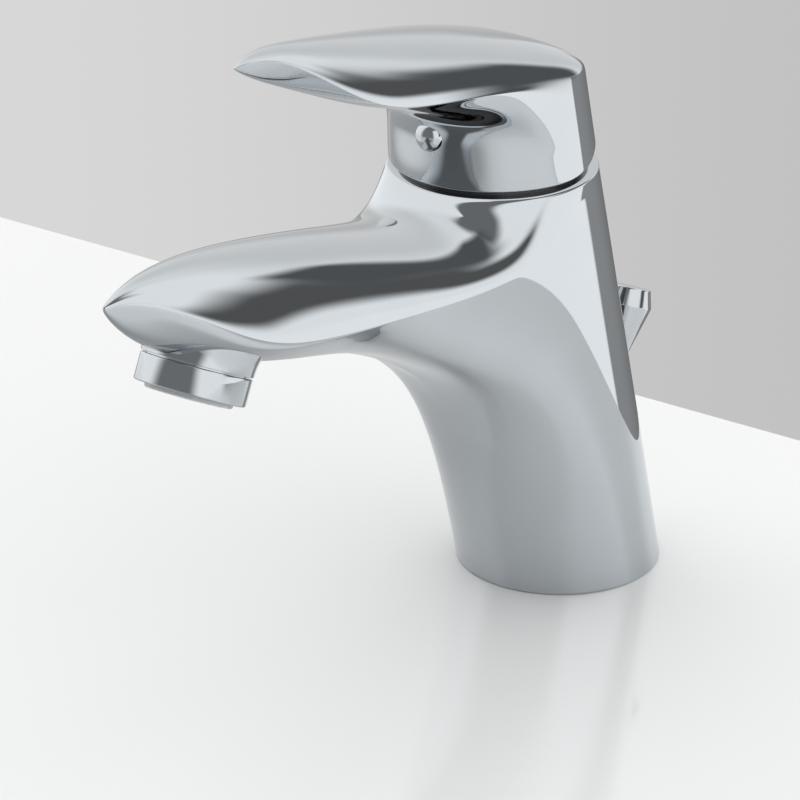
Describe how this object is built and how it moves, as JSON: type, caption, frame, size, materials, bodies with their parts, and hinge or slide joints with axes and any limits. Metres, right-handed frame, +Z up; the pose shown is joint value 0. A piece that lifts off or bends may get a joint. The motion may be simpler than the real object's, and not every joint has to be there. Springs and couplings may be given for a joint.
{
  "type": "bathroom mixer faucet",
  "caption": "Single-lever basin mixer with leaning column, leaf-shaped spout and lever, tilted aerator, ceramic-disc cartridge, rear lift rod for a pop-up waste and deck clamp.",
  "frame": {"origin": "centre of the base circle, on the basin deck", "axes": "+Z up, -Y out along the spout, X to the sides"},
  "size_m": [0.05, 0.2039, 0.2087],
  "materials": {
    "chrome": "polished chrome plate",
    "brass": "machined",
    "steel": "zinc plated",
    "valve_metal": "machined",
    "rubber": "matt",
    "grey_plastic": "satin, silver grey",
    "white_plastic": "matt",
    "ceramic": "lapped opaque ceramic",
    "black_plastic": "gloss"
  },
  "bodies": {
    "body": {"body_casting": "chrome", "base_gasket": "rubber", "trim_ring": "black_plastic", "cartridge_nut": "brass", "cartridge_housing": "white_plastic", "cartridge_base": "white_plastic", "cartridge_seals": "rubber", "fixed_disc": "ceramic", "aerator_housing": "chrome", "aerator_insert": "grey_plastic", "aerator_gasket": "rubber", "rod_bush": "white_plastic", "mounting_studs": "steel", "stud_nuts": "steel", "deck_gasket": "rubber", "clamp_plate": "steel"},
    "carrier": {"stem_carrier": "white_plastic", "pivot_pin": "steel"},
    "disc": {"moving_disc": "ceramic"},
    "lever": {"lever_handle": "chrome", "valve_stem": "valve_metal", "grub_screw": "steel", "index_plug": "chrome"},
    "rod": {"lift_rod": "chrome", "lift_knob": "chrome", "link_clamp": "brass", "link_screws": "steel"}
  },
  "joints": [
    {"name": "temperature_swivel", "type": "hinge", "parent": "body", "child": "carrier", "pos_m": [0, -0.0301, 0.112], "axis": [0, 0, 1], "range_deg": [-45, 45]},
    {"name": "lever_lift", "type": "hinge", "parent": "carrier", "child": "lever", "pos_m": [0, -0.0301, 0.112], "axis": [-1, 0, 0], "range_deg": [0, 17]},
    {"name": "disc_slide", "type": "slide", "parent": "carrier", "child": "disc", "axis": [0, -1, 0], "range_m": [0, 0.0065]},
    {"name": "rod_lift", "type": "slide", "parent": "body", "child": "rod", "axis": [0, 0.3746, 0.9272], "range_m": [0, 0.02]}
  ],
  "couplings": [
    {"joint": "disc_slide", "follows": "lever_lift", "m_per_rad": 0.02172}
  ]
}
